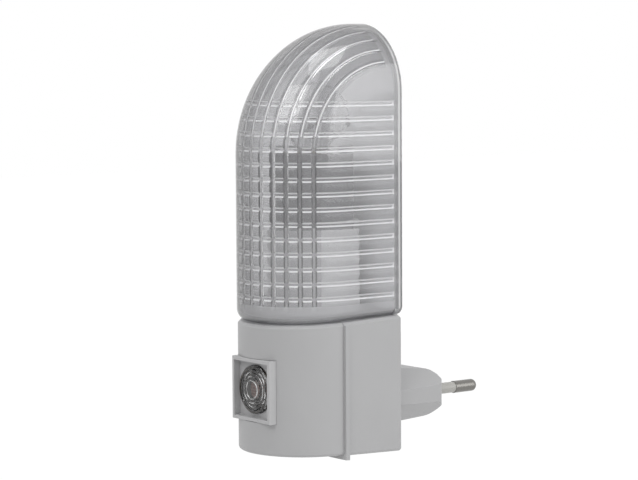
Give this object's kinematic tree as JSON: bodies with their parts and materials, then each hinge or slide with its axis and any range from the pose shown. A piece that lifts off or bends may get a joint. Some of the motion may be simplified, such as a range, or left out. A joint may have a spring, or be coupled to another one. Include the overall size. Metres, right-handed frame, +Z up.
{
  "type": "plug-in night light",
  "caption": "Plug-in night light: a half-round housing with a light sensor window and a two-pin wall plug, a screw-in lamp on a column, and a clear ribbed lift-off shade.",
  "frame": {"origin": "where the plug's axis, midway between the pins, meets the wall plane at the housing's back", "axes": "+Y along the plug into the wall socket, +Z up the shade, +X to the right seen from the front"},
  "size_m": [0.044, 0.0852, 0.1367],
  "materials": {
    "housing_plastic": "satin moulded, light grey white",
    "pedestal_plastic": "plain moulded white",
    "holder_plastic": "plain moulded grey",
    "shade_plastic": "clear, polished, ribbed inside",
    "lens_plastic": "clear, stepped rings",
    "sleeve_plastic": "cream insulating sleeve",
    "pin_metal": "nickel plated",
    "screw_steel": "zinc plated",
    "contact_brass": "bright",
    "cap_metal": "bright drawn",
    "cap_insulator": "black glass",
    "bulb_glass": "clear blown glass",
    "filament_metal": "dull drawn wire",
    "lead_metal": "tinned wire",
    "board_laminate": "pressed paper laminate",
    "component_black": "moulded epoxy",
    "resistor_body": "lacquered, with colour bands",
    "sensor_ceramic": "red-brown sensing track on pale ceramic",
    "wire_brown": "soft wire jacket",
    "wire_blue": "soft wire jacket",
    "wire_black": "soft wire jacket"
  },
  "bodies": {
    "base": {"front_housing": "housing_plastic", "rear_cover": "housing_plastic", "housing_screws": "screw_steel", "plug_pin_left": "pin_metal", "plug_pin_right": "pin_metal", "pin_sleeve_left": "sleeve_plastic", "pin_sleeve_right": "sleeve_plastic", "sensor_bezel": "housing_plastic", "sensor_lens": "lens_plastic", "photocell": "sensor_ceramic", "photocell_leads": "lead_metal", "control_board": "board_laminate", "rectifier_diodes": "component_black", "resistors": "resistor_body", "thyristor": "component_black", "component_leads": "lead_metal", "lamp_pedestal": "pedestal_plastic", "lamp_holder": "holder_plastic", "holder_nut": "screw_steel", "holder_shell_contact": "contact_brass", "holder_centre_contact": "contact_brass", "live_wire": "wire_brown", "neutral_wire": "wire_blue", "lamp_wire": "wire_black"},
    "shade": {"shade": "shade_plastic"},
    "lamp_carrier": {"bulb_contact_tip": "cap_metal"},
    "lamp": {"bulb_cap_insulator": "cap_insulator", "bulb_screw_cap": "cap_metal", "bulb_glass": "bulb_glass", "bulb_stem": "bulb_glass", "bulb_supports": "filament_metal", "bulb_filament": "filament_metal"}
  },
  "joints": [
    {"name": "shade_lift", "type": "slide", "parent": "base", "child": "shade", "axis": [0, 0, 1], "range_m": [0, 0.1]},
    {"name": "lamp_lift", "type": "slide", "parent": "base", "child": "lamp_carrier", "axis": [0, 0, 1], "range_m": [0, 0.00846]},
    {"name": "lamp_turn", "type": "hinge", "parent": "lamp_carrier", "child": "lamp", "pos_m": [0, -0.0196, 0.07], "axis": [0, 0, 1], "range_deg": [0, 1080]}
  ],
  "couplings": [
    {"joint": "lamp_turn", "follows": "lamp_lift", "rad_per_m": 2228.1}
  ]
}
